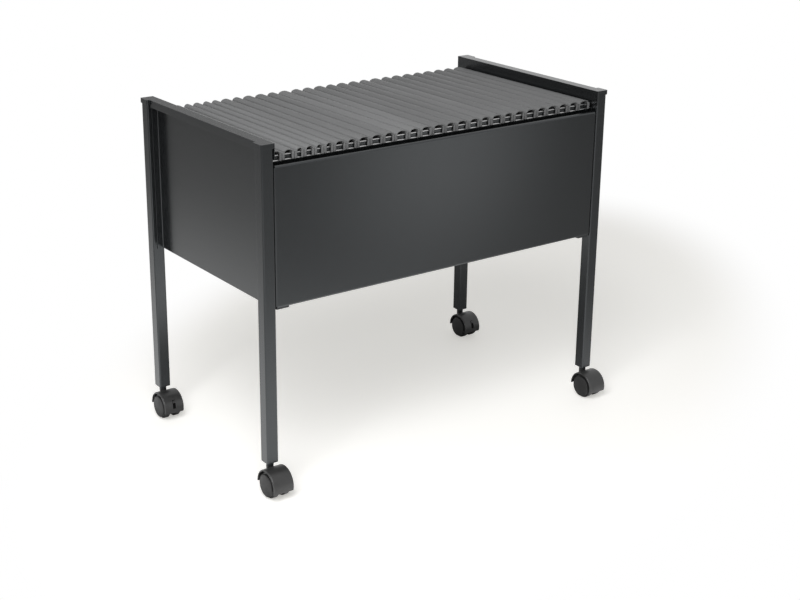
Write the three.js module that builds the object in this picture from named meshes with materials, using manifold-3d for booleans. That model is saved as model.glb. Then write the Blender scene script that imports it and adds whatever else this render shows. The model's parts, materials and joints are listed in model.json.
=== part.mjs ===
// Mobile file cart: two end frames on castors, joined by a front and a back panel whose hanging
// rails carry a row of suspension files. Millimetres, Z up, floor at Z = 0, front of the cart at -Y.

import * as THREE from 'three';
import { mergeVertices } from 'three/addons/utils/BufferGeometryUtils.js';
import Module from 'manifold-3d';

const wasm = await Module();
wasm.setup();

// Frame
const lengthOverLegs = 676;
const topHeight = 555;
const legWidth = 20;
const legWall = 1.5;
const legCornerRadius = 2;
const legBottomPlate = 4;
const seatGap = 0.3;

// Top rails, one over each pair of legs
const railSkin = 1.6;
const railOuterSetback = 3.5;
const railOuterDrop = 12;
const railInnerDrop = 24;
const capOverhang = 1.5;
const capDrop = 7.5;

// End panels, trays recessed between the legs
const sheetThickness = 1.2;
const sheetBendRadius = 1.4;
const endPanelInset = 2.5;
const endFlangeWidth = 11;
const endHemWidth = 8;

// Front and back panels
const panelSetback = 0.5;
const panelTopDrop = 34.5;
const panelHeight = 218;
const panelHemWidth = 6.5;
const ledgeDepth = 12;
const ledgeBehindRail = 7;
const ledgeLip = 9;
const bottomReturn = 14;
const sideFlange = 15;
const footTabWidth = 22;
const footTabDrop = 3;

// Hanging rails, 332 mm apart as for A4 files
const hangingRailSpacing = 332;
const hangingRailSetback = 19.5;
const hangingRailRise = 11.8;
const railWebThickness = 2;
const railBeadRadius = 2;
const railBeadSpacing = 8;

// Suspension files
const fileCount = 28;
const fileGap = 0.7;
const fileRowEndGap = 1.2;
const fileSaddle = 1.2;
const fileShoulder = 2.4;
const fileCoverRise = 4.8;
const fileCoverWall = 1.5;
const fileHookDepth = 9.5;
const fileEndOverhang = 5;
const pocketEndInset = 12;
const pocketSheet = 1;
const pocketInset = 0.3;
const pocketBottomRise = 5;
const pocketBottomClearance = 4;

// Castors
const wheelRadius = 21;
const wheelTreadWidth = 8;
const wheelDiscInset = 3;
const wheelDiscStep = 4.4;
const wheelDomeRise = 2;
const wheelSideGap = 0.6;
const wheelRimWall = 3.6;
const wheelStepWall = 1.6;
const wheelHubRadius = 6.4;
const castorTrail = 16;
const hoodClearance = 2;
const hoodWall = 2.4;
const hoodShoulderRadius = 2;
const hoodEdgeDrop = 3.5;
const hoodEdgeTilt = 8;
const webWidth = 10;
const webRadius = 17;
const bossRadius = 5.8;
const axleRadius = 3;
const axleEndCover = 4;
const runningGap = 0.4;
const stemPinRadius = 3.2;
const stemPinDepth = 16;
const stemCollarRadius = 5.8;
const stemCollarHeight = 5;
const stemShankRadius = 4;
const stemShankLength = 30;
const stemTip = 1;

// Brake levers of the two back castors
const brakeAngle = 30;
const brakeReach = 12.4;
const brakeTipProud = 1.2;
const brakeLeverWidth = 4.6;
const brakeKnuckle = 3;
const brakeTipHalfHeight = 2.4;
const brakePinRadius = 1.2;
const brakeSlotBelow = 11.5;

// Facets
const roundSides = 12;
const wheelSides = 20;
const hoodSides = 28;
const archSides = 8;
const pocketSides = 2;
const bendSides = 2;
const beadSides = 3;
const domeSides = 3;

// Places worked out from the sizes above
const hangingRailY = -hangingRailSpacing / 2;
const panelFaceY = hangingRailY - hangingRailSetback;
const halfLength = lengthOverLegs / 2;
const halfDepth = panelSetback - panelFaceY;
const legX = halfLength - legWidth / 2;
const legY = halfDepth - legWidth / 2;
const legTopHeight = topHeight - railSkin - seatGap;
const panelTopHeight = topHeight - panelTopDrop;
const panelBottomHeight = panelTopHeight - panelHeight;
const panelHalfLength = halfLength - legWidth - seatGap;
const ledgeHeight = panelTopHeight - ledgeDepth;
const hangingRailTop = panelTopHeight + hangingRailRise;
const hookHeight = hangingRailTop + seatGap;
const fileShoulderHeight = hookHeight + fileSaddle;
const fileFootHeight = hookHeight - fileHookDepth;
const wheelInnerFace = webWidth / 2 + wheelSideGap;
const wheelTreadEdge = wheelInnerFace + wheelTreadWidth;
const wheelDiscEdge = wheelTreadEdge + wheelDiscStep;
const wheelOuterFace = wheelDiscEdge + wheelDomeRise;
const axleHalfLength = wheelOuterFace - axleEndCover;
const hoodBore = wheelRadius + hoodClearance;
const hoodRadius = hoodBore + hoodWall;
const hoodHalfWidth = wheelDiscEdge;
const bossTopHeight = wheelRadius + hoodRadius;
const legUndersideHeight = bossTopHeight + stemCollarHeight + 2 * seatGap;
const brakePivotRadius = hoodRadius - brakeReach;
const footprintShift = (castorTrail + hoodRadius - legWidth / 2 - capOverhang) / 2;

const materials = {
  frame: new THREE.MeshStandardMaterial({ color: 0x4a4b4d, roughness: 0.55, metalness: 0.25 }),
  panel: new THREE.MeshStandardMaterial({ color: 0x4c4e50, roughness: 0.5, metalness: 0.25 }),
  rail: new THREE.MeshStandardMaterial({ color: 0xd0d2d4, roughness: 0.25, metalness: 1 }),
  file: new THREE.MeshStandardMaterial({ color: 0x55575a, roughness: 0.6, metalness: 0 }),
  castor: new THREE.MeshStandardMaterial({ color: 0x343537, roughness: 0.5, metalness: 0 }),
  wheel: new THREE.MeshStandardMaterial({ color: 0x3c3d3f, roughness: 0.55, metalness: 0 }),
  steel: new THREE.MeshStandardMaterial({ color: 0x2e2f31, roughness: 0.45, metalness: 0.6 }),
};

const degrees = (angle) => (angle * Math.PI) / 180;

// A closed solid from a geometry: shared vertices merged, collapsed triangles dropped, faces turned out.
function solid(geometry) {
  const bare = geometry.clone();
  bare.deleteAttribute('normal');
  bare.deleteAttribute('uv');
  const merged = mergeVertices(bare, 1e-4);
  const corners = merged.index.array;
  const kept = [];
  for (let i = 0; i < corners.length; i += 3) {
    const [a, b, c] = [corners[i], corners[i + 1], corners[i + 2]];
    if (a !== b && b !== c && c !== a) kept.push(a, b, c);
  }
  const vertProperties = new Float32Array(merged.attributes.position.array);
  const build = (order) => new wasm.Manifold(
    new wasm.Mesh({ numProp: 3, vertProperties, triVerts: new Uint32Array(order) }));
  const made = build(kept);
  return made.volume() > 0 ? made : build(kept.slice().reverse());
}

// Extrudes a shape along a world axis. The shape lies in XY for z, in YZ for x and in XZ for y, and each
// arc of its outline gets two facets for each curve segment.
const extrudeAxes = {
  x: [new THREE.Vector3(0, 1, 0), new THREE.Vector3(0, 0, 1), new THREE.Vector3(1, 0, 0)],
  y: [new THREE.Vector3(1, 0, 0), new THREE.Vector3(0, 0, 1), new THREE.Vector3(0, -1, 0)],
  z: [new THREE.Vector3(1, 0, 0), new THREE.Vector3(0, 1, 0), new THREE.Vector3(0, 0, 1)],
};

function extrude(shape, axis, from, to, curveSegments = bendSides / 2) {
  const options = { depth: to - from, bevelEnabled: false, curveSegments };
  const geometry = new THREE.ExtrudeGeometry(shape, options);
  geometry.translate(0, 0, axis === 'y' ? -to : from);
  geometry.applyMatrix4(new THREE.Matrix4().makeBasis(...extrudeAxes[axis]));
  return solid(geometry);
}

function box(x0, x1, y0, y1, z0, z1) {
  const geometry = new THREE.BoxGeometry(x1 - x0, y1 - y0, z1 - z0);
  geometry.translate((x0 + x1) / 2, (y0 + y1) / 2, (z0 + z1) / 2);
  return solid(geometry);
}

// A round bar along an axis through a point.
function bar(axis, radius, from, to, across, sides = roundSides) {
  const geometry = new THREE.CylinderGeometry(radius, radius, to - from, sides);
  geometry.translate(0, (from + to) / 2, 0);
  if (axis === 'z') geometry.rotateX(Math.PI / 2);
  if (axis === 'x') geometry.rotateZ(-Math.PI / 2);
  geometry.translate(...across);
  return solid(geometry);
}

// Revolves [radius, height] points about Z or X. The radii are those of the flats, and one flat lies
// square to each of the other two axes.
function revolve(points, axis, sides) {
  const halfStep = Math.PI / sides;
  const profile = points.map(([radius, height]) => new THREE.Vector2(radius / Math.cos(halfStep), height));
  const geometry = new THREE.LatheGeometry(profile, sides, halfStep);
  if (axis === 'z') geometry.rotateX(Math.PI / 2);
  if (axis === 'x') geometry.rotateZ(-Math.PI / 2);
  return solid(geometry);
}

function polygon(points) {
  return new THREE.Shape(points.map(([x, y]) => new THREE.Vector2(x, y)));
}

function roundedSquare(size, radius) {
  const shape = new THREE.Shape();
  const inner = size / 2 - radius;
  shape.absarc(inner, inner, radius, 0, degrees(90));
  shape.absarc(-inner, inner, radius, degrees(90), degrees(180));
  shape.absarc(-inner, -inner, radius, degrees(180), degrees(270));
  shape.absarc(inner, -inner, radius, degrees(270), degrees(360));
  return shape;
}

// Section of a sheet folded along a path of square corners: the sheet lies to the left of the path.
function foldedSheet(path, thickness, bendRadius) {
  const points = path.map(([x, y]) => new THREE.Vector2(x, y));
  const side = (offset) => {
    const line = [];
    points.forEach((corner, i) => {
      const before = points[Math.max(i, 1)].clone().sub(points[Math.max(i, 1) - 1]).normalize();
      const next = Math.min(i, points.length - 2);
      const after = points[next + 1].clone().sub(points[next]).normalize();
      const left = (along) => new THREE.Vector2(-along.y, along.x);
      const turn = before.cross(after);
      if (i === 0 || i === points.length - 1 || Math.abs(turn) < 1e-6) {
        line.push(corner.clone().addScaledVector(left(after), offset));
        return;
      }
      const outside = bendRadius + thickness;
      const reach = turn > 0 ? outside : bendRadius;
      const radius = turn > 0 ? outside - offset : bendRadius + offset;
      const inward = left(before).multiplyScalar(Math.sign(turn));
      const centre = corner.clone().addScaledVector(before, -reach).addScaledVector(inward, reach);
      for (let step = 0; step <= bendSides; step += 1) {
        const angle = degrees(90) * (step / bendSides);
        const along = radius * Math.sin(angle);
        const across = -radius * Math.cos(angle);
        line.push(centre.clone().addScaledVector(before, along).addScaledVector(inward, across));
      }
    });
    return line;
  };
  return new THREE.Shape([...side(0), ...side(thickness).reverse()]);
}

function named(name, body, material) {
  const { vertProperties, triVerts } = body.getMesh();
  const geometry = new THREE.BufferGeometry();
  geometry.setAttribute('position', new THREE.BufferAttribute(vertProperties, 3));
  geometry.setIndex(new THREE.BufferAttribute(triVerts, 1));
  geometry.computeVertexNormals();
  const mesh = new THREE.Mesh(geometry, material);
  mesh.name = name;
  return mesh;
}

// Square tube leg, closed at the bottom by a plate with the hole for the castor's stem.
function legSolid() {
  const outer = extrude(roundedSquare(legWidth, legCornerRadius), 'z', legUndersideHeight, legTopHeight);
  const bore = legWidth / 2 - legWall;
  const floorOfBore = legUndersideHeight + legBottomPlate;
  const hole = bar('z', stemShankRadius + runningGap, legUndersideHeight - 1, floorOfBore + 1, [0, 0, 0]);
  return outer.subtract(box(-bore, bore, -bore, bore, floorOfBore, legTopHeight + 1)).subtract(hole);
}

// Top rail of the left end: a channel with a hollow cap over the head of each leg. Its outer flange
// stops at the legs, and its inner flange runs past them.
function topRailSolid() {
  const capReach = halfDepth + capOverhang;
  const outerFace = -halfLength + railOuterSetback;
  const innerFace = -halfLength + legWidth + capOverhang;
  const betweenLegs = halfDepth - legWidth - seatGap;
  const socket = legWidth / 2 + seatGap;
  const top = box(outerFace, innerFace, -capReach, capReach, topHeight - railSkin, topHeight);
  const flange = (x0, x1, half, drop) => box(x0, x1, -half, half, topHeight - drop, topHeight);
  const innerSkin = -halfLength + legWidth + seatGap;
  let rail = top
    .add(flange(outerFace, outerFace + railSkin, betweenLegs, railOuterDrop))
    .add(flange(innerSkin, innerFace, capReach, railInnerDrop));
  for (const y of [-legY, legY]) {
    const capHalf = legWidth / 2 + capOverhang;
    const cap = extrude(roundedSquare(2 * capHalf, legCornerRadius), 'z', topHeight - capDrop, topHeight);
    const hollow = box(-socket, socket, -socket, socket, 0, legTopHeight + seatGap);
    rail = rail.add(cap.subtract(hollow).translate([-legX, y, 0]));
  }
  return rail;
}

// Recessed tray of the left end: its flanges lie along the legs, its head stands inside the top rail.
function endPanelSolid() {
  const face = -halfLength + legWidth - endPanelInset;
  const halfWidth = halfDepth - legWidth - seatGap;
  const outward = face - endFlangeWidth;
  const back = face + sheetThickness;
  const plan = foldedSheet(
    [[outward, -halfWidth], [back, -halfWidth], [back, halfWidth], [outward, halfWidth]],
    sheetThickness, sheetBendRadius);
  const head = topHeight - railSkin - seatGap;
  const trayTop = topHeight - railOuterDrop - seatGap;
  const tray = extrude(plan, 'z', panelBottomHeight, trayTop);
  const upstandHalf = halfWidth - sheetThickness - sheetBendRadius;
  const upstand = box(face, face + sheetThickness, -upstandHalf, upstandHalf, trayTop - 1, head);
  const hem = box(face, face + endHemWidth, -upstandHalf, upstandHalf,
    panelBottomHeight, panelBottomHeight + sheetThickness);
  return tray.add(upstand).add(hem);
}

// Front panel: one folded sheet with side flanges along the legs and a return along its bottom edge.
// Its top edge is hemmed inwards and steps down to the ledge that carries the hanging rail.
function panelSolid() {
  const half = panelHalfLength;
  const face = panelFaceY;
  const flangeEnd = face + sideFlange;
  const returnEnd = face + bottomReturn;
  const hemEnd = face + panelHemWidth;
  const ledgeEnd = hangingRailY + ledgeBehindRail;
  const plan = foldedSheet(
    [[-half, flangeEnd], [-half, face], [half, face], [half, flangeEnd]],
    sheetThickness, sheetBendRadius);
  const bend = sheetThickness + sheetBendRadius;
  const section = foldedSheet(
    [[ledgeEnd, ledgeHeight - ledgeLip], [ledgeEnd, ledgeHeight], [hemEnd, ledgeHeight],
      [hemEnd, panelTopHeight], [face, panelTopHeight], [face, panelBottomHeight],
      [returnEnd, panelBottomHeight]],
    sheetThickness, sheetBendRadius);
  let panel = extrude(section, 'x', -half + bend, half - bend)
    .add(extrude(plan, 'z', panelBottomHeight + bend, panelTopHeight - bend));
  for (const side of [-1, 1]) {
    const middle = side * (half - bend - footTabWidth / 2);
    panel = panel.add(box(middle - footTabWidth / 2, middle + footTabWidth / 2, face + bend, returnEnd,
      panelBottomHeight - footTabDrop, panelBottomHeight + sheetThickness));
  }
  return panel;
}

// Bright rail that stands on the front ledge: an upright web with two round beads along its head.
function hangingRailSolid() {
  const half = Math.min(panelHalfLength - sheetThickness, halfLength - legWidth - capOverhang) - seatGap;
  const web = railWebThickness / 2;
  const upper = hangingRailTop - railBeadRadius;
  const lower = upper - railBeadSpacing;
  const neck = Math.asin(web / railBeadRadius);
  const below = -degrees(90) + neck;
  const above = degrees(90) - neck;
  const section = new THREE.Shape();
  section.moveTo(hangingRailY + web, ledgeHeight + seatGap);
  section.absarc(hangingRailY, lower, railBeadRadius, below, above, false);
  section.absarc(hangingRailY, upper, railBeadRadius, below, Math.PI - below, false);
  section.absarc(hangingRailY, lower, railBeadRadius, Math.PI - above, Math.PI - below, false);
  section.lineTo(hangingRailY - web, ledgeHeight + seatGap);
  return extrude(section, 'x', -half, half, beadSides);
}

// Points of half an ellipse from one side to the other, over the top or, with a negative rise, underneath.
function halfEllipse(halfWidth, rise, baseHeight, sides) {
  const points = [];
  for (let step = 0; step <= sides; step += 1) {
    const angle = Math.PI * (step / sides);
    points.push([halfWidth * Math.cos(angle), baseHeight + rise * Math.sin(angle)]);
  }
  return points;
}

// One suspension file: an arched cover between two shoulders, whose thick side walls straddle the hanging
// rails in notches, and a folded pocket that hangs from the walls, open at both ends.
function fileSolid(width) {
  const spring = fileShoulderHeight;
  const half = width / 2;
  const archHalf = half - fileShoulder;
  const hollowHalf = archHalf - fileCoverWall;
  const cover = polygon([
    [half, fileFootHeight], [half, spring],
    ...halfEllipse(archHalf, fileCoverRise, spring, archSides),
    [-half, spring], [-half, fileFootHeight], [-hollowHalf, fileFootHeight],
    ...halfEllipse(hollowHalf, fileCoverRise - fileCoverWall, spring, archSides).reverse(),
    [hollowHalf, fileFootHeight],
  ]);
  const outer = half - pocketInset;
  const inner = outer - pocketSheet;
  const base = panelBottomHeight + pocketBottomClearance + pocketBottomRise;
  const pocket = polygon([
    [inner, hookHeight], [outer, hookHeight], [outer, base],
    ...halfEllipse(outer, -pocketBottomRise, base, pocketSides).slice(1, -1),
    [-outer, base], [-outer, hookHeight], [-inner, hookHeight], [-inner, base],
    ...halfEllipse(inner, pocketSheet - pocketBottomRise, base, pocketSides).reverse().slice(1, -1),
    [inner, base],
  ]);
  const coverHalf = hangingRailSpacing / 2 + fileEndOverhang;
  const pocketHalf = hangingRailSpacing / 2 - pocketEndInset;
  const notchHalf = railBeadRadius + runningGap;
  let file = extrude(cover, 'y', -coverHalf, coverHalf).add(extrude(pocket, 'y', -pocketHalf, pocketHalf));
  for (const y of [hangingRailY, -hangingRailY]) {
    file = file.subtract(box(-width, width, y - notchHalf, y + notchHalf, fileFootHeight - 1, hookHeight));
  }
  return file;
}

// Stem of a castor: a pin for the hood, a collar under the leg and a shank up inside the leg.
function stemSolid() {
  const collarBottom = bossTopHeight + seatGap;
  const collarTop = collarBottom + stemCollarHeight;
  const shankTop = collarTop + stemShankLength;
  const pinBottom = bossTopHeight - stemPinDepth;
  return revolve([
    [0, pinBottom], [stemPinRadius, pinBottom],
    [stemPinRadius, collarBottom], [stemCollarRadius, collarBottom],
    [stemCollarRadius, collarTop], [stemShankRadius, collarTop],
    [stemShankRadius, shankTop - stemTip], [stemShankRadius - stemTip, shankTop], [0, shankTop],
  ], 'z', roundSides);
}

// Point in the castor's YZ plane at an angle above the front horizontal, seen from the axle.
function roundAxle(radius, angle) {
  const forward = radius * Math.cos(degrees(angle));
  const up = radius * Math.sin(degrees(angle));
  return [-castorTrail - forward, wheelRadius + up];
}

// Hood of a castor: a round-shouldered shell over both wheels, cut off below the axle and lower at the
// front, with a web between the wheels, a boss that takes the stem, and the axle through the web.
function hoodSolid(braked) {
  const shoulder = hoodRadius - hoodShoulderRadius;
  const flank = hoodHalfWidth - hoodShoulderRadius;
  const edge = [];
  for (let step = 0; step <= bendSides; step += 1) {
    const angle = degrees(90) * (step / bendSides);
    const outward = hoodShoulderRadius * Math.sin(angle);
    const sideways = hoodShoulderRadius * Math.cos(angle);
    edge.push([shoulder + outward, flank + sideways]);
  }
  const otherEdge = edge.map(([radius, x]) => [radius, -x]).reverse();
  const outline = [[0, hoodHalfWidth], ...edge, ...otherEdge, [0, -hoodHalfWidth]].reverse();
  const axleAt = [0, -castorTrail, wheelRadius];
  const reach = 2 * hoodRadius;
  const belowEdge = box(-reach, reach, -castorTrail - reach, -castorTrail + reach,
    wheelRadius - reach, wheelRadius - hoodEdgeDrop);
  let hood = revolve(outline, 'x', hoodSides).translate(axleAt)
    .subtract(turnedAboutAxle(belowEdge, -hoodEdgeTilt))
    .add(bar('z', bossRadius, wheelRadius, bossTopHeight, [0, 0, 0]));
  for (const [from, to] of [[-reach, -webWidth / 2], [webWidth / 2, reach]]) {
    hood = hood.subtract(bar('x', hoodBore, from, to, axleAt, hoodSides));
  }
  const socketDepth = bossTopHeight - stemPinDepth - seatGap;
  hood = hood
    .add(bar('x', webRadius, -webWidth / 2, webWidth / 2, axleAt, hoodSides / 2))
    .subtract(bar('z', stemPinRadius + runningGap, socketDepth, bossTopHeight + 1, [0, 0, 0]))
    .add(bar('x', axleRadius, -axleHalfLength, axleHalfLength, axleAt, roundSides));
  return braked ? hood.subtract(brakeSlotSolid()).add(brakePinSolid()) : hood;
}

// Slot in the front of the hood: the lever fills its top, and the room below is the lever's travel.
function brakeSlotSolid() {
  const half = brakeLeverWidth / 2 + runningGap;
  const round = brakeKnuckle + runningGap;
  const slot = box(-half, half, -castorTrail - 2 * hoodRadius, -castorTrail - brakePivotRadius + round,
    wheelRadius - brakeSlotBelow, wheelRadius + round);
  return turnedAboutAxle(slot, brakeAngle);
}

function turnedAboutAxle(body, angle) {
  return body
    .translate([0, castorTrail, -wheelRadius])
    .rotate([-angle, 0, 0])
    .translate([0, -castorTrail, wheelRadius]);
}

function brakePinSolid() {
  const half = brakeLeverWidth / 2 + runningGap + brakePinRadius;
  return bar('x', brakePinRadius, -half, half, [0, ...roundAxle(brakePivotRadius, brakeAngle)]);
}

// Brake lever: a tapered finger on the pin, its tip just proud of the hood.
function brakeLeverSolid() {
  const pivot = -brakePivotRadius;
  const tip = -hoodRadius - brakeTipProud;
  const outline = new THREE.Shape();
  outline.absarc(pivot, 0, brakeKnuckle, degrees(-90), degrees(90), false);
  outline.lineTo(tip + brakeTipHalfHeight, brakeTipHalfHeight);
  outline.absarc(tip + brakeTipHalfHeight, 0, brakeTipHalfHeight, degrees(90), degrees(270), false);
  const half = brakeLeverWidth / 2;
  const hole = bar('x', brakePinRadius + runningGap, -brakeLeverWidth, brakeLeverWidth, [0, pivot, 0]);
  const finger = extrude(outline, 'x', -half, half, roundSides / 2).subtract(hole);
  return turnedAboutAxle(finger.translate([0, -castorTrail, wheelRadius]), brakeAngle);
}

// Wheel on the +X side: a tread ring and a smaller, domed outer disc, hollow inside round its hub.
function wheelSolid() {
  const bore = axleRadius + runningGap;
  const boreEnd = axleHalfLength + runningGap;
  const hollow = wheelTreadEdge - wheelStepWall;
  const ring = wheelRadius - wheelRimWall;
  const discRadius = wheelRadius - wheelDiscInset;
  const domeRadius = (discRadius ** 2 + wheelDomeRise ** 2) / (2 * wheelDomeRise);
  const dome = [];
  for (let step = 0; step <= domeSides; step += 1) {
    const radius = discRadius * (1 - step / domeSides);
    dome.push([radius, wheelOuterFace - domeRadius + Math.sqrt(domeRadius ** 2 - radius ** 2)]);
  }
  return revolve([
    [0, boreEnd], [bore, boreEnd], [bore, wheelInnerFace], [wheelHubRadius, wheelInnerFace],
    [wheelHubRadius, hollow], [ring, hollow], [ring, wheelInnerFace], [wheelRadius, wheelInnerFace],
    [wheelRadius, wheelTreadEdge], [discRadius, wheelTreadEdge], ...dome,
  ], 'x', wheelSides);
}

function castor(place, x, y, braked) {
  const group = new THREE.Group();
  group.position.set(x, y, 0);
  group.add(named(`castor_stem_${place}`, stemSolid(), materials.steel));
  group.add(named(`castor_hood_${place}`, hoodSolid(braked), materials.castor));
  if (braked) group.add(named(`brake_lever_${place}`, brakeLeverSolid(), materials.castor));
  for (const [side, turn] of [['left', Math.PI], ['right', 0]]) {
    const wheel = named(`wheel_${place}_${side}`, wheelSolid(), materials.wheel);
    wheel.position.set(0, -castorTrail, wheelRadius);
    wheel.rotation.z = turn;
    group.add(wheel);
  }
  return group;
}

// Widths of the files: with a gap between them they fill the row, a little uneven and closer at the left.
function fileWidths() {
  const shares = [];
  for (let i = 0; i < fileCount; i += 1) {
    shares.push(1 - 0.3 * Math.exp(-(((i - 3.5) / 3) ** 2)) + 0.08 * Math.sin(2.4 * i));
  }
  const row = 2 * (halfLength - legWidth - capOverhang - fileRowEndGap);
  const total = shares.reduce((sum, share) => sum + share, 0);
  return shares.map((share) => ((row + fileGap) * share) / total - fileGap);
}

const cart = new THREE.Group();
cart.position.y = footprintShift;

const corners = [
  ['front_left', -legX, -legY, false],
  ['front_right', legX, -legY, false],
  ['back_left', -legX, legY, true],
  ['back_right', legX, legY, true],
];
for (const [place, x, y, braked] of corners) {
  const leg = named(`leg_${place}`, legSolid(), materials.frame);
  leg.position.set(x, y, 0);
  cart.add(leg);
  cart.add(castor(place, x, y, braked));
}

for (const [end, turn] of [['left', 0], ['right', Math.PI]]) {
  const frame = new THREE.Group();
  frame.rotation.z = turn;
  frame.add(named(`top_rail_${end}`, topRailSolid(), materials.frame));
  frame.add(named(`end_panel_${end}`, endPanelSolid(), materials.panel));
  cart.add(frame);
}

for (const [side, turn] of [['front', 0], ['back', Math.PI]]) {
  const wall = new THREE.Group();
  wall.rotation.z = turn;
  wall.add(named(`${side}_panel`, panelSolid(), materials.panel));
  wall.add(named(`hanging_rail_${side}`, hangingRailSolid(), materials.rail));
  cart.add(wall);
}

let fileLeft = -halfLength + legWidth + capOverhang + fileRowEndGap;
fileWidths().forEach((width, i) => {
  const file = named(`file_${String(i + 1).padStart(2, '0')}`, fileSolid(width), materials.file);
  file.position.x = fileLeft + width / 2;
  cart.add(file);
  fileLeft += width + fileGap;
});

export default cart;
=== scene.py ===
import json
import math
import bmesh
import bpy
from mathutils import Matrix, Vector


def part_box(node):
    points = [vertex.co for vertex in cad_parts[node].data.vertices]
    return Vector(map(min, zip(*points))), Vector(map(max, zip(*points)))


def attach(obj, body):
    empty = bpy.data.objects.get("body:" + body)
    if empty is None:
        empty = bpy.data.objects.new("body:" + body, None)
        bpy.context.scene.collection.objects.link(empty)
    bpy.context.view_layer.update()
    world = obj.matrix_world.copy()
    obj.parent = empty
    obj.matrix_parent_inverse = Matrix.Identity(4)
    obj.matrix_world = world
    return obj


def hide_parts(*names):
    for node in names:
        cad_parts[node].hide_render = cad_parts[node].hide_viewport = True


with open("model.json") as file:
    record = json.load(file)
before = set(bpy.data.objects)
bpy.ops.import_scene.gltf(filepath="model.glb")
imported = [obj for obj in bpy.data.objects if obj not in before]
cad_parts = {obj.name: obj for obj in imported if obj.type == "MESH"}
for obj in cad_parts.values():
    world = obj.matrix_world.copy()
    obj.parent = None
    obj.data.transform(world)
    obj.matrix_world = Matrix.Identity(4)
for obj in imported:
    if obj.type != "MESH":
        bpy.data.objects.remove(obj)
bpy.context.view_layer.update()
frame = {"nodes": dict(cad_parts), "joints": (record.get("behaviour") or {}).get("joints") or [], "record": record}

nodes = frame["nodes"]
scene = bpy.context.scene

# One millimetre in metres, and turns in degrees
mm = 0.001
half_turn = 180.0
full_turn = 360.0

# The range in which nearly all of a noise texture's values lie
noise_range = (0.3, 0.7)
white = (1.0, 1.0, 1.0, 1.0)


# Node helpers

def set_sockets(node, **sockets):
    """Sets a node's sockets, where _ in a key stands for a space in the socket's name."""
    for key, value in sockets.items():
        node.inputs[key.replace("_", " ")].default_value = value


def add_node(tree, kind, **sockets):
    node = tree.nodes.new(kind)
    set_sockets(node, **sockets)
    return node


def maths(tree, operation, *values):
    """Math on numbers and on other nodes' outputs."""
    node = tree.nodes.new("ShaderNodeMath")
    node.operation = operation
    for socket, value in zip(node.inputs, values):
        if isinstance(value, float):
            socket.default_value = value
        else:
            tree.links.new(value, socket)
    return node.outputs["Value"]


def remap(tree, value, source, target, interpolation="LINEAR"):
    """Takes a value from the source range to the target range."""
    node = add_node(tree, "ShaderNodeMapRange", From_Min=source[0], From_Max=source[1],
                    To_Min=target[0], To_Max=target[1])
    node.interpolation_type = interpolation
    tree.links.new(value, node.inputs["Value"])
    return node.outputs["Result"]


def place_coordinates(tree):
    return tree.nodes.new("ShaderNodeTexCoord").outputs["Object"]


def stretched(tree, vector, scale):
    node = add_node(tree, "ShaderNodeMapping", Scale=scale)
    tree.links.new(vector, node.inputs["Vector"])
    return node.outputs["Vector"]


def noise(tree, vector, scale=1.0, detail=3.0):
    node = add_node(tree, "ShaderNodeTexNoise", Scale=scale, Detail=detail, Roughness=0.55)
    tree.links.new(vector, node.inputs["Vector"])
    return node.outputs["Fac"]


def tones(tree, value, level, spread, source=noise_range, tint=(1.0, 1.0, 1.0)):
    """Greys from the level times the first of spread, at source's low end, to the last of it."""
    node = tree.nodes.new("ShaderNodeValToRGB")
    for element, position, share in zip(node.color_ramp.elements, source, spread):
        element.position = position
        element.color = (*(level * share * part for part in tint), 1.0)
    tree.links.new(value, node.inputs["Fac"])
    return node.outputs["Color"]


def bump(tree, shader, height, strength, distance):
    node = add_node(tree, "ShaderNodeBump", Strength=strength, Distance=distance)
    tree.links.new(height, node.inputs["Height"])
    tree.links.new(node.outputs["Normal"], shader.inputs["Normal"])


def rays(tree, *kinds):
    """One for rays of the kinds named, nought for the rest."""
    path = tree.nodes.new("ShaderNodeLightPath")
    value = path.outputs[kinds[0]]
    for kind in kinds[1:]:
        value = maths(tree, "MAXIMUM", value, path.outputs[kind])
    return value


# Materials

def new_material(name):
    material = bpy.data.materials.new(name)
    material.use_nodes = True
    tree = material.node_tree
    shader = tree.nodes["Principled BSDF"]
    return material, tree, shader


def powder_coat(name, level, roughness):
    """Satin powder coat: a fine orange-peel skin with faint patches of tone and gloss."""
    material, tree, shader = new_material(name)
    at = place_coordinates(tree)
    set_sockets(shader, Specular_IOR_Level=0.68, Specular_Tint=(0.92, 0.97, 1.0, 1.0))
    patches = noise(tree, at, scale=9.0, detail=4.0)
    colour = tones(tree, patches, level, spread=(0.93, 1.07), tint=(0.93, 1.0, 1.08))
    tree.links.new(colour, shader.inputs["Base Color"])
    speckle = noise(tree, at, scale=420.0, detail=2.0)
    uneven = 0.03
    gloss = remap(tree, speckle, noise_range, (roughness - uneven, roughness + uneven))
    tree.links.new(gloss, shader.inputs["Roughness"])
    peel = noise(tree, at, scale=1100.0, detail=2.0)
    bump(tree, shader, peel, strength=0.04, distance=0.2 * mm)
    return material


def moulded_plastic(name, level, roughness, specular):
    """Moulded plastic: fine spark-eroded grain, slightly uneven gloss."""
    material, tree, shader = new_material(name)
    at = place_coordinates(tree)
    set_sockets(shader, Specular_IOR_Level=specular)
    patches = noise(tree, at, scale=40.0)
    colour = tones(tree, patches, level, spread=(0.9, 1.1))
    tree.links.new(colour, shader.inputs["Base Color"])
    uneven = 0.05
    speckle = noise(tree, at, scale=160.0)
    gloss = remap(tree, speckle, noise_range, (roughness - uneven, roughness + uneven))
    tree.links.new(gloss, shader.inputs["Roughness"])
    grain = noise(tree, at, scale=1500.0, detail=2.0)
    bump(tree, shader, grain, strength=0.08, distance=0.2 * mm)
    return material


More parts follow.
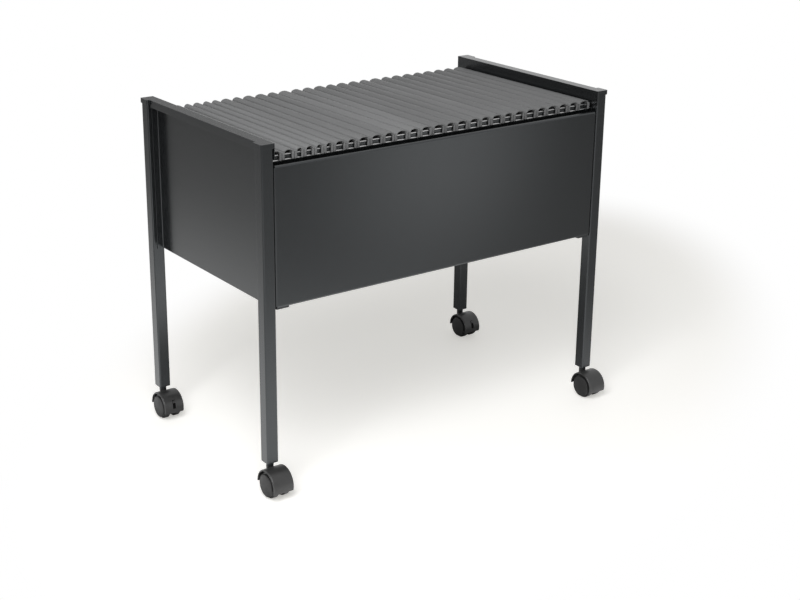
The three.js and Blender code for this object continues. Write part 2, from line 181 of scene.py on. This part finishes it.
def file_board(name, level, roughness):
    """Suspension file board: fibres and faint creases that run along the file."""
    material, tree, shader = new_material(name)
    at = place_coordinates(tree)
    fibres = noise(tree, stretched(tree, at, (900.0, 40.0, 900.0)))
    creases = noise(tree, stretched(tree, at, (60.0, 5.0, 20.0)))
    fibre_share = 0.35
    crease_part = maths(tree, "MULTIPLY", creases, 1.0 - fibre_share)
    both = maths(tree, "MULTIPLY_ADD", fibres, fibre_share, crease_part)
    colour = tones(tree, both, level, spread=(0.88, 1.12), source=(0.32, 0.68),
                   tint=(0.99, 1.0, 1.01))
    tree.links.new(colour, shader.inputs["Base Color"])
    smoother, rougher = 0.05, 0.06
    gloss = remap(tree, fibres, noise_range, (roughness - smoother, roughness + rougher))
    tree.links.new(gloss, shader.inputs["Roughness"])
    bump(tree, shader, fibres, strength=0.12, distance=0.2 * mm)
    return material


def bright_steel(name, level, roughness):
    """Zinc-bright steel, drawn along its length."""
    material, tree, shader = new_material(name)
    at = place_coordinates(tree)
    set_sockets(shader, Metallic=1.0)
    lines = noise(tree, stretched(tree, at, (6.0, 2500.0, 2500.0)), detail=2.0)
    colour = tones(tree, lines, level, spread=(0.9, 1.05))
    tree.links.new(colour, shader.inputs["Base Color"])
    uneven = 0.06
    gloss = remap(tree, lines, noise_range, (roughness - uneven, roughness + uneven))
    tree.links.new(gloss, shader.inputs["Roughness"])
    bump(tree, shader, lines, strength=0.05, distance=0.1 * mm)
    return material


frame_paint = powder_coat("frame_paint", level=0.005, roughness=0.24)
panel_paint = powder_coat("panel_paint", level=0.005, roughness=0.22)
hood_plastic = moulded_plastic("hood_plastic", level=0.026, roughness=0.38, specular=0.5)
wheel_plastic = moulded_plastic("wheel_plastic", level=0.018, roughness=0.48, specular=0.3)
rail_steel = bright_steel("rail_steel", level=0.4, roughness=0.2)
screw_zinc = bright_steel("screw_zinc", level=0.65, roughness=0.3)
stem_plate = powder_coat("stem_plate", level=0.012, roughness=0.35)

# The files' boards come in runs of one tone each, lighter and darker by turns: the last file of each run, and its
# tone
tone_runs = ((6, 0.152), (11, 0.132), (14, 0.152), (18, 0.125), (20, 0.14), (28, 0.128))
file_boards = {}
for last, level in tone_runs:
    file_boards[last] = file_board(f"file_board_to_{last}", level, roughness=0.62)

# The nodes' slots, and the finish of each slot that is left on its CAD solids
slots = {part["node"]: part["material_slot"] for part in frame["record"]["subparts"]}
finish = {"frame": frame_paint, "panel": panel_paint, "castor": hood_plastic, "steel": stem_plate}
edge_width = {"frame": 0.5 * mm, "panel": 0.5 * mm, "castor": 0.4 * mm, "steel": 0.4 * mm}


def set_material(piece, material):
    piece.data.materials.clear()
    piece.data.materials.append(material)


def soften(piece, width):
    """Joins the facets' corners and rounds the sharp edges."""
    weld = piece.modifiers.new("weld", "WELD")
    weld.merge_threshold = 1e-6
    edge = piece.modifiers.new("edge", "BEVEL")
    edge.width = width
    edge.segments = 2
    edge.limit_method = "ANGLE"
    edge.angle_limit = math.radians(30.0)
    for face in piece.data.polygons:
        face.use_smooth = False


# Forms, each a list of vertices and a list of faces

def ring_faces(first, second, count):
    """Faces between two rings of vertices, given by the index of each ring's first vertex."""
    faces = []
    for i in range(count):
        following = (i + 1) % count
        faces.append((first + i, first + following, second + following, second + i))
    return faces


def prism_faces(count):
    """Sides and two ends of a form between two rings of as many vertices."""
    faces = ring_faces(0, count, count)
    faces.append(tuple(range(count)))
    faces.append(tuple(range(count, 2 * count))[::-1])
    return faces


def swept(loop, centre, start, end, steps):
    """A closed (x, radius) loop turned about X through centre, from angle start to end in degrees,
    where 0 points to the front and 90 up. A full turn has no end caps."""
    full = abs(end - start) >= full_turn
    stations = steps if full else steps + 1
    verts = []
    for k in range(stations):
        angle = math.radians(start + (end - start) * k / steps)
        for x, radius in loop:
            y = centre.y - radius * math.cos(angle)
            z = centre.z + radius * math.sin(angle)
            verts.append((centre.x + x, y, z))
    count = len(loop)
    faces = []
    for k in range(steps):
        faces += ring_faces(k * count, ((k + 1) % stations) * count, count)
    if not full:
        faces.append(tuple(range(count)))
        faces.append(tuple(range((stations - 1) * count, stations * count))[::-1])
    return verts, faces


def upright(centre, radius, low, high, sides):
    """A round post along Z."""
    verts = []
    for height in (low, high):
        for k in range(sides):
            angle = 2.0 * math.pi * k / sides
            x = centre.x + radius * math.cos(angle)
            y = centre.y + radius * math.sin(angle)
            verts.append((x, y, height))
    faces = ring_faces(0, sides, sides)
    faces.append(tuple(range(sides))[::-1])
    faces.append(tuple(range(sides, 2 * sides)))
    return verts, faces


def round_bar(centre, radius, half, sides):
    """A round bar along X."""
    loop = [(-half, 0.0), (-half, radius), (half, radius), (half, 0.0)]
    return swept(loop, centre, 0.0, full_turn, sides)


def block(low, high):
    """A box."""
    (x0, y0, z0), (x1, y1, z1) = low, high
    verts = [(x, y, z) for z in (z0, z1) for y in (y0, y1) for x in (x0, x1)]
    faces = [(0, 2, 3, 1), (4, 5, 7, 6), (0, 1, 5, 4), (2, 6, 7, 3), (0, 4, 6, 2), (1, 3, 7, 5)]
    return verts, faces


def drawn(section, ends, middle):
    """A closed (y, z) section drawn along X between two ends, its y counted from middle."""
    verts = [(x, middle + y, z) for x in ends for y, z in section]
    return verts, prism_faces(len(section))


def turned(form, centre, angle):
    """A form made round the origin, its front turned up about X, then put at a centre."""
    verts, faces = form
    turn = Matrix.Translation(centre) @ Matrix.Rotation(-angle, 4, "X")
    return [turn @ Vector(vert) for vert in verts], faces


def arc(centre, radius, start, end, steps):
    """Points on part of a circle, from angle start to end in degrees."""
    points = []
    for k in range(steps + 1):
        angle = math.radians(start + (end - start) * k / steps)
        points.append((centre[0] + radius * math.cos(angle), centre[1] + radius * math.sin(angle)))
    return points


def half_ellipse(reach, rise, base, steps):
    """Points from one side to the other, over the top or, with a negative rise, underneath."""
    points = []
    for k in range(steps + 1):
        angle = math.pi * k / steps
        points.append((reach * math.cos(angle), base + rise * math.sin(angle)))
    return points


# Meshes and pieces made from forms

def clean(mesh):
    """Joins corners that lie in one place and points every face outward."""
    same_place = 1e-7
    shape = bmesh.new()
    shape.from_mesh(mesh)
    bmesh.ops.remove_doubles(shape, verts=shape.verts, dist=same_place)
    bmesh.ops.recalc_face_normals(shape, faces=shape.faces)
    shape.to_mesh(mesh)
    shape.free()


def raw_mesh(name, form):
    verts, faces = form
    mesh = bpy.data.meshes.new(name)
    mesh.from_pydata(verts, [], faces)
    clean(mesh)
    return mesh


def combined(name, first, steps):
    """The first form with others joined to it or cut from it."""
    base = bpy.data.objects.new(name, raw_mesh(name, first))
    scene.collection.objects.link(base)
    tools = []
    for operation, form in steps:
        tool = bpy.data.objects.new(name + "_tool", raw_mesh(name + "_tool", form))
        scene.collection.objects.link(tool)
        modifier = base.modifiers.new("step", "BOOLEAN")
        modifier.operation = operation
        modifier.solver = "EXACT"
        modifier.object = tool
        tools.append(tool)
    graph = bpy.context.evaluated_depsgraph_get()
    mesh = bpy.data.meshes.new_from_object(base.evaluated_get(graph))
    mesh.name = name
    for helper in [*tools, base]:
        data = helper.data
        bpy.data.objects.remove(helper)
        bpy.data.meshes.remove(data)
    return mesh


def finished(name, mesh, body, material, sharp, node=None):
    """Turns a mesh into a piece that rides on a body and, with a node, stands for that node."""
    clean(mesh)
    for face in mesh.polygons:
        face.use_smooth = True
    mesh.set_sharp_from_angle(angle=math.radians(sharp))
    piece = bpy.data.objects.new(name, mesh)
    scene.collection.objects.link(piece)
    set_material(piece, material)
    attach(piece, body)
    if node:
        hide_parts(node)
    return piece


# Pieces rebuilt with finer curves than the solids that they stand for

joint_at = {joint["child"]: joint.get("pos_m") for joint in frame["joints"]}

# How far a cut runs past the surface that it opens
past = 1.0 * mm


def hood_shell(axle, half, outer, web, web_radius):
    """The hood's wall with round shoulders, thick enough in the middle to reach into the web."""
    wall = 2.4 * mm
    bore = outer - wall
    shoulder = 2.0 * mm
    lip_in = 0.3 * mm
    lip_up = 0.2 * mm
    overlap = 1.0 * mm
    within = web_radius - overlap
    right = arc((half - shoulder, outer - shoulder), shoulder, 90.0, 0.0, steps=6)
    right += [(half, bore + lip_up), (half - lip_in, bore)]
    left = [(-x, radius) for x, radius in reversed(right)]
    loop = [*left, *right, (web, bore), (web, within), (-web, within), (-web, bore)]
    front_end, back_end = -40.0, 220.0
    return swept(loop, axle, front_end, back_end, steps=104)


def brake_steps(axle, clear):
    """The slot for the brake lever, and the pin on which it turns."""
    angle = math.radians(30.0)
    slot_half = 2.7 * mm
    slot_inner = 9.6 * mm
    slot_down = 11.5 * mm
    slot_up = 3.4 * mm
    slot = block((-slot_half, -clear, -slot_down), (slot_half, -slot_inner, slot_up))
    pin_reach = 13.0 * mm
    pin_radius = 1.2 * mm
    pin_half = 3.9 * mm
    pin = axle + Vector((0.0, -pin_reach * math.cos(angle), pin_reach * math.sin(angle)))
    return [
        ("DIFFERENCE", turned(slot, axle, angle)),
        ("UNION", round_bar(pin, pin_radius, pin_half, sides=16)),
    ]


def castor_hood(place, braked):
    """Hood with round shoulders over the two wheels, its web and axle and the boss for the stem."""
    node = f"castor_hood_{place}"
    body = f"castor_{place}"
    axle = Vector(joint_at[f"wheel_{place}_left"])
    stem = Vector(joint_at[body])
    low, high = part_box(node)
    half = (high.x - low.x) / 2
    outer = high.z - axle.z

    # The lower edge tilts, and everything under it is cut off
    clear = 40.0 * mm
    edge_drop = 3.5 * mm
    edge_tilt = math.radians(8.0)
    below = block((-clear, -clear, -clear), (clear, clear, -edge_drop))

    # The boss is slimmer between the wheels than above them
    web = 5.0 * mm
    web_radius = 17.0 * mm
    slim = 5.3 * mm
    slim_low = axle.z + 12.0 * mm
    slim_high = axle.z + 18.0 * mm
    boss = 5.8 * mm
    boss_low = axle.z + 17.0 * mm
    stem_bore = 3.6 * mm
    stem_depth = 16.3 * mm
    axle_radius = 3.0 * mm
    axle_half = 16.0 * mm
    steps = [
        ("DIFFERENCE", turned(below, axle, -edge_tilt)),
        ("UNION", upright(stem, slim, slim_low, slim_high, sides=40)),
        ("UNION", upright(stem, boss, boss_low, high.z, sides=40)),
        ("UNION", round_bar(axle, web_radius, web, sides=64)),
        ("DIFFERENCE", upright(stem, stem_bore, high.z - stem_depth, high.z + past, sides=24)),
        ("UNION", round_bar(axle, axle_radius, axle_half, sides=24)),
    ]
    if braked:
        steps += brake_steps(axle, clear)
    mesh = combined(node + "_smooth", hood_shell(axle, half, outer, web, web_radius), steps)
    finished(f"hood_{place}", mesh, body, hood_plastic, sharp=40.0, node=node)


def castor_wheel(place, side):
    """Wheel with a smaller, domed disc outside its tread, hollow round its hub inside."""
    node = f"wheel_{place}_{side}"
    axle = Vector(joint_at[node])
    low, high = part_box(node)
    sign = 1.0 if side == "right" else -1.0
    face = max(abs(low.x - axle.x), abs(high.x - axle.x))
    inside = min(abs(low.x - axle.x), abs(high.x - axle.x))

    # Radii, from the axle out
    tread_wall = 3.6 * mm
    disc_step = 3.0 * mm
    radius = (high.z - low.z) / 2
    bore = 3.4 * mm
    hub = 6.4 * mm
    ring = radius - tread_wall
    disc = radius - disc_step

    # Distances from the castor's middle
    rise = 2.0 * mm
    disc_depth = 4.4 * mm
    side_wall = 1.6 * mm
    bore_wall = 3.6 * mm
    edge = face - rise
    tread = edge - disc_depth
    hollow = tread - side_wall
    bore_end = face - bore_wall

    dome_radius = (disc ** 2 + rise ** 2) / (2.0 * rise)
    dome_stops = (0.04, 0.1, 0.2, 0.35, 0.5, 0.65, 0.8, 0.9)
    dome = []
    for share in dome_stops:
        out = disc * (1.0 - share)
        dome.append((face - dome_radius + math.sqrt(dome_radius ** 2 - out ** 2), out))
    tread_round = 0.8 * mm
    small_round = 0.5 * mm
    loop = [
        (bore_end, 0.0),
        (bore_end, bore),
        (inside, bore),
        (inside, hub),
        (hollow, hub),
        (hollow, ring),
        (inside, ring),
        (inside, radius - small_round),
        (inside + small_round, radius),
        *arc((tread - tread_round, radius - tread_round), tread_round, 90.0, 0.0, steps=4),
        (tread, disc),
        *arc((edge - small_round, disc - small_round), small_round, 90.0, 20.0, steps=4),
        *dome,
        (face, 0.0),
    ]
    sided = [(sign * x, out) for x, out in loop]
    mesh = raw_mesh(node + "_smooth", swept(sided, axle, 0.0, full_turn, steps=64))
    finished(f"roller_{place}_{side}", mesh, node, wheel_plastic, sharp=35.0, node=node)


def file_cover(middle, length, wall, outer, inner):
    """The cover between an outer and an inner line of as many points, its two ends' rims eased."""
    section = [*outer, *reversed(inner)]
    count = len(section)
    rim = 0.45 * mm
    stations = [(-length, rim), (-length + rim, 0.0), (length - rim, 0.0), (length, rim)]
    verts = []
    for y, inset in stations:
        share = 0.5 * inset / wall
        for (x, z), (across, beside) in zip(section, reversed(section)):
            x_eased = middle.x + x + (across - x) * share
            z_eased = z + (beside - z) * share
            verts.append((x_eased, middle.y + y, z_eased))
    faces = []
    for k in range(len(stations) - 1):
        faces += ring_faces(k * count, (k + 1) * count, count)
    last = (len(stations) - 1) * count
    for i in range(count // 2 - 1):
        end = (i, i + 1, count - 2 - i, count - 1 - i)
        faces.append(end[::-1])
        faces.append(tuple(last + corner for corner in end))
    return verts, faces


def file_pocket(middle, reach, half, top, base):
    """The folded sheet that hangs in the cover, open at its top and its two ends."""
    sheet = 1.0 * mm
    inner_half = half - sheet
    fold = 5.0 * mm
    inner_fold = 4.0 * mm
    section = [
        (half, top),
        *half_ellipse(half, -fold, base + fold, steps=10),
        (-half, top),
        (-inner_half, top),
        *reversed(half_ellipse(inner_half, -inner_fold, base + fold, steps=10)),
        (inner_half, top),
    ]
    verts = [(middle.x + x, middle.y + y, z) for y in (-reach, reach) for x, z in section]
    return verts, prism_faces(len(section))


def suspension_file(number):
    """Arched cover between two shoulders, notched to straddle the rails, and its folded pocket."""
    node = f"file_{number:02d}"
    low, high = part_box(node)
    middle = (low + high) / 2
    half = (high.x - low.x) / 2
    length = (high.y - low.y) / 2
    wall = 1.5 * mm
    rise = 4.8 * mm
    shoulder = 2.4 * mm
    over_rail = 1.2 * mm
    hook = 9.5 * mm
    spring = high.z - rise
    notch = spring - over_rail
    foot = notch - hook
    arch = half - shoulder
    within = arch - wall
    outer = [
        (half, foot),
        (half, spring),
        *half_ellipse(arch, rise, spring, steps=20),
        (-half, spring),
        (-half, foot),
    ]
    inner = [
        (within, foot),
        (within, notch),
        *half_ellipse(within, rise - wall, spring, steps=20),
        (-within, notch),
        (-within, foot),
    ]
    pocket_from_end = 17.0 * mm
    pocket_inset = 0.3 * mm
    pocket = file_pocket(middle, length - pocket_from_end, half - pocket_inset, notch, low.z)
    steps = [("UNION", pocket)]
    notch_from_end = 5.0 * mm
    notch_half = 2.4 * mm
    for side in (-1.0, 1.0):
        y = middle.y + side * (length - notch_from_end)
        gap_low = (low.x - past, y - notch_half, foot - past)
        gap_high = (high.x + past, y + notch_half, notch)
        steps.append(("DIFFERENCE", block(gap_low, gap_high)))
    mesh = combined(node + "_smooth", file_cover(middle, length, wall, outer, inner), steps)
    tone_run = min(last for last in file_boards if last >= number)
    finished(f"hanging_file_{number:02d}", mesh, node, file_boards[tone_run], sharp=40.0, node=node)


def hanging_rail(side):
    """Drawn rail: an upright web in the panel's dark paint, which is painted shade, with two bright beads along
    its head.
    """
    node = f"hanging_rail_{side}"
    low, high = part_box(node)
    middle = (low.y + high.y) / 2
    bead = (high.y - low.y) / 2
    web = 1.0 * mm
    bead_spacing = 8.0 * mm
    upper = high.z - bead
    lower = upper - bead_spacing
    meets = 60.0
    section = [
        (web, low.z),
        *arc((0.0, lower), bead, -meets, meets, steps=10),
        *arc((0.0, upper), bead, -meets, half_turn + meets, steps=24),
        *arc((0.0, lower), bead, half_turn - meets, half_turn + meets, steps=10),
        (-web, low.z),
    ]
    mesh = raw_mesh(node + "_smooth", drawn(section, (low.x, high.x), middle))
    piece = finished(f"file_rail_{side}", mesh, "frame", rail_steel, sharp=35.0, node=node)

    # The web's two faces get the panel's dark paint: painted shade for the shaded web under the files' arches
    piece.data.materials.append(panel_paint)
    near_web = 1.02 * web
    facing_sideways = 0.9
    for face in piece.data.polygons:
        if abs(face.center.y - middle) < near_web and abs(face.normal.y) > facing_sideways:
            face.material_index = 1


def flange_screw(name, place, inward):
    """Pan-head screw with a cross recess, its head on the inner face of a panel's side flange."""
    head = 3.4 * mm
    rise = 2.0 * mm
    crown = 1.0 * mm
    sunk = 0.1 * mm
    loop = [
        (-sunk, 0.0),
        (-sunk, head),
        *arc((rise - crown, head - crown), crown, 90.0, 0.0, steps=6),
        (rise, 0.0),
    ]
    sided = [(inward * x, out) for x, out in loop]
    top = place + Vector((inward * rise, 0.0, 0.0))
    cross_long = 1.7 * mm
    cross_wide = 0.45 * mm
    cross_deep = 1.1 * mm
    recess = []
    for along, tall in ((cross_long, cross_wide), (cross_wide, cross_long)):
        reach = Vector((cross_deep, along, tall))
        recess.append(("DIFFERENCE", block(top - reach, top + reach)))
    mesh = combined(name + "_head", swept(sided, place, 0.0, full_turn, steps=32), recess)
    piece = finished(name, mesh, "frame", screw_zinc, sharp=40.0)


def panel_screws(panel):
    """Two screws through each side flange, which hold the panel to the legs."""
    low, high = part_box(panel)
    sheet = 1.2 * mm
    behind = 8.0 * mm
    from_edge = 45.0 * mm
    y = low.y + behind if panel == "front_panel" else high.y - behind
    for level, z in (("low", low.z + from_edge), ("high", high.z - from_edge)):
        flange_screw(f"{panel}_screw_left_{level}", Vector((low.x + sheet, y, z)), 1.0)
        flange_screw(f"{panel}_screw_right_{level}", Vector((high.x - sheet, y, z)), -1.0)


for name, piece in nodes.items():
    slot = slots[name]
    if slot == "file":
        suspension_file(int(name.removeprefix("file_")))
    elif slot == "rail":
        hanging_rail(name.removeprefix("hanging_rail_"))
    elif name.startswith("castor_hood_"):
        castor_hood(name.removeprefix("castor_hood_"), braked="back" in name)
    elif slot == "wheel":
        castor_wheel(*name.removeprefix("wheel_").rsplit("_", 1))
    else:
        set_material(piece, finish[slot])
        soften(piece, edge_width[slot])

for panel in ("front_panel", "back_panel"):
    panel_screws(panel)


# Floor, light and camera

def floor_fade(tree):
    """From a small share in the cart's shadow, an oval on the floor, to one on the plain floor."""
    oval = add_node(tree, "ShaderNodeMapping", Location=(0.3, 0.17, 0.0),
                    Rotation=(0.0, 0.0, math.radians(30.8)), Scale=(1.8, 1.0, 1.0))
    oval.vector_type = "TEXTURE"
    tree.links.new(place_coordinates(tree), oval.inputs["Vector"])
    away = tree.nodes.new("ShaderNodeVectorMath")
    away.operation = "LENGTH"
    tree.links.new(oval.outputs["Vector"], away.inputs[0])
    oval_edge = (0.44, 0.64)
    shares = (0.12, 1.0)
    return remap(tree, away.outputs["Value"], oval_edge, shares, "SMOOTHSTEP")


def floor():
    """White floor that keeps the shadow near the cart and fades to plain white further off."""
    reach = 30.0
    corners = [(-reach, -reach, 0.0), (reach, -reach, 0.0),
               (reach, reach, 0.0), (-reach, reach, 0.0)]
    mesh = bpy.data.meshes.new("floor")
    mesh.from_pydata(corners, [], [(0, 1, 2, 3)])
    piece = bpy.data.objects.new("floor", mesh)
    scene.collection.objects.link(piece)
    material, tree, shader = new_material("floor_white")
    set_sockets(shader, Base_Color=(0.92, 0.915, 0.905, 1.0), Roughness=0.6,
                Specular_IOR_Level=0.2)
    fade = floor_fade(tree)
    seen = rays(tree, "Is Camera Ray")
    plain = add_node(tree, "ShaderNodeEmission", Color=white, Strength=1.0)
    mix = tree.nodes.new("ShaderNodeMixShader")
    tree.links.new(maths(tree, "MULTIPLY", seen, fade), mix.inputs["Fac"])
    tree.links.new(shader.outputs["BSDF"], mix.inputs[1])
    tree.links.new(plain.outputs["Emission"], mix.inputs[2])

    # A little warm light keeps the shadow as pale as the photograph's
    lift = add_node(tree, "ShaderNodeEmission", Color=(1.0, 0.98, 0.915, 1.0))
    most_lift = 0.38
    lifted = remap(tree, fade, (0.0, 1.0), (most_lift, 0.0))
    tree.links.new(maths(tree, "MULTIPLY", seen, lifted), lift.inputs["Strength"])
    total = tree.nodes.new("ShaderNodeAddShader")
    tree.links.new(mix.outputs["Shader"], total.inputs[0])
    tree.links.new(lift.outputs["Emission"], total.inputs[1])
    tree.links.new(total.outputs["Shader"], tree.nodes["Material Output"].inputs["Surface"])
    mesh.materials.append(material)


def lamp(name, place, target, size, power, glossy_only=False):
    """Rectangular area lamp that, with glossy_only, shows in reflections alone."""
    data = bpy.data.lights.new(name, "AREA")
    data.shape = "RECTANGLE"
    data.size, data.size_y = size
    data.energy = power
    piece = bpy.data.objects.new(name, data)
    piece.location = place
    piece.rotation_mode = "QUATERNION"
    piece.rotation_quaternion = (Vector(target) - Vector(place)).to_track_quat("-Z", "Y")
    piece.visible_camera = False
    piece.visible_diffuse = not glossy_only
    scene.collection.objects.link(piece)
    return data


def soft_edged(data, brightest):
    """Lets a lamp's light fade away from one point, given as a share of its width and height."""
    data.use_nodes = True
    tree = data.node_tree
    place = tree.nodes.new("ShaderNodeNewGeometry").outputs["Parametric"]
    away = tree.nodes.new("ShaderNodeVectorMath")
    away.operation = "DISTANCE"
    away.inputs[1].default_value = brightest
    tree.links.new(place, away.inputs[0])
    fade = remap(tree, away.outputs["Value"], (0.0, 0.5), (1.0, 0.0), "SMOOTHSTEP")
    tree.links.new(fade, tree.nodes["Emission"].inputs["Strength"])


def grey_card(name, place, size, level):
    """Upright card that only glossy surfaces see, a shade darker than the background."""
    x, y, z = place
    across, tall = size[0] / 2, size[1] / 2
    corners = [(x - across, y, z - tall), (x + across, y, z - tall),
               (x + across, y, z + tall), (x - across, y, z + tall)]
    mesh = bpy.data.meshes.new(name)
    mesh.from_pydata(corners, [], [(0, 1, 2, 3)])
    piece = bpy.data.objects.new(name, mesh)
    scene.collection.objects.link(piece)
    material, _, shader = new_material(name)
    set_sockets(shader, Base_Color=(0.0, 0.0, 0.0, 1.0), Specular_IOR_Level=0.0,
                Emission_Color=white, Emission_Strength=level)
    mesh.materials.append(material)
    piece.visible_camera = False
    piece.visible_diffuse = False
    piece.visible_shadow = False


def world_light(strength, background):
    """Soft light from all round, with a white background behind the cart and in its reflections."""
    world = bpy.data.worlds.new("studio")
    scene.world = world
    world.use_nodes = True
    tree = world.node_tree
    shader = tree.nodes["Background"]
    set_sockets(shader, Color=white)
    seen = rays(tree, "Is Camera Ray", "Is Glossy Ray", "Is Transmission Ray")
    level = remap(tree, seen, (0.0, 1.0), (strength, background))
    tree.links.new(level, shader.inputs["Strength"])


def camera():
    """The photograph's view, found by laying the cart's corners over it."""
    image_width = 800.0
    focal_length = 1433.7
    sensor_width = 36.0
    location = (-1.35555, -1.8731, 1.05948)
    yaw = math.radians(-36.621)
    pitch = math.radians(-18.852)
    roll = math.radians(0.703)
    data = bpy.data.cameras.new("camera")
    piece = bpy.data.objects.new("camera", data)
    data.sensor_fit = "HORIZONTAL"
    data.sensor_width = sensor_width
    data.lens = focal_length / image_width * sensor_width
    data.shift_y = -0.05
    data.clip_end = 100.0
    forward = math.cos(pitch)
    ahead = Vector((-math.sin(yaw) * forward, math.cos(yaw) * forward, math.sin(pitch)))
    right = Vector((math.cos(yaw), math.sin(yaw), 0.0))
    up = right.cross(ahead)
    across = math.cos(roll) * right + math.sin(roll) * up
    above = -math.sin(roll) * right + math.cos(roll) * up
    turn = Matrix((across, above, -ahead)).transposed()
    piece.matrix_world = Matrix.Translation(location) @ turn.to_4x4()
    scene.collection.objects.link(piece)
    scene.camera = piece


floor()
world_light(strength=0.22, background=1.0)

# A large soft lamp at the camera's left lights the cart
lamp("key", place=(-1.25, -1.08, 1.75), target=(0.0, 0.05, 0.25), size=(1.2, 1.8), power=45.0)

# The glossy paint mirrors a card in front, two pale pools on the floor and a grey card behind
front_card = lamp("front_card", place=(0.44, -0.75, 0.33), target=(0.44, 0.0, 0.33),
                  size=(0.84, 0.8), power=2.2, glossy_only=True)
soft_edged(front_card, brightest=(0.5, 0.5, 0.0))
left_pool = lamp("left_pool", place=(-1.11, 0.5, 0.005), target=(-1.11, 0.5, 1.0),
                 size=(1.5, 6.0), power=27.0, glossy_only=True)
soft_edged(left_pool, brightest=(0.0, 0.5, 0.0))
front_pool = lamp("front_pool", place=(0.0, -1.19, 0.005), target=(0.0, -1.19, 1.0),
                  size=(1.6, 2.0), power=12.5, glossy_only=True)
soft_edged(front_pool, brightest=(0.5, 1.0, 0.0))
grey_card("back_card", place=(0.67, 1.8, 1.04), size=(0.85, 0.7), level=0.4)

camera()
scene.view_settings.view_transform = "Standard"
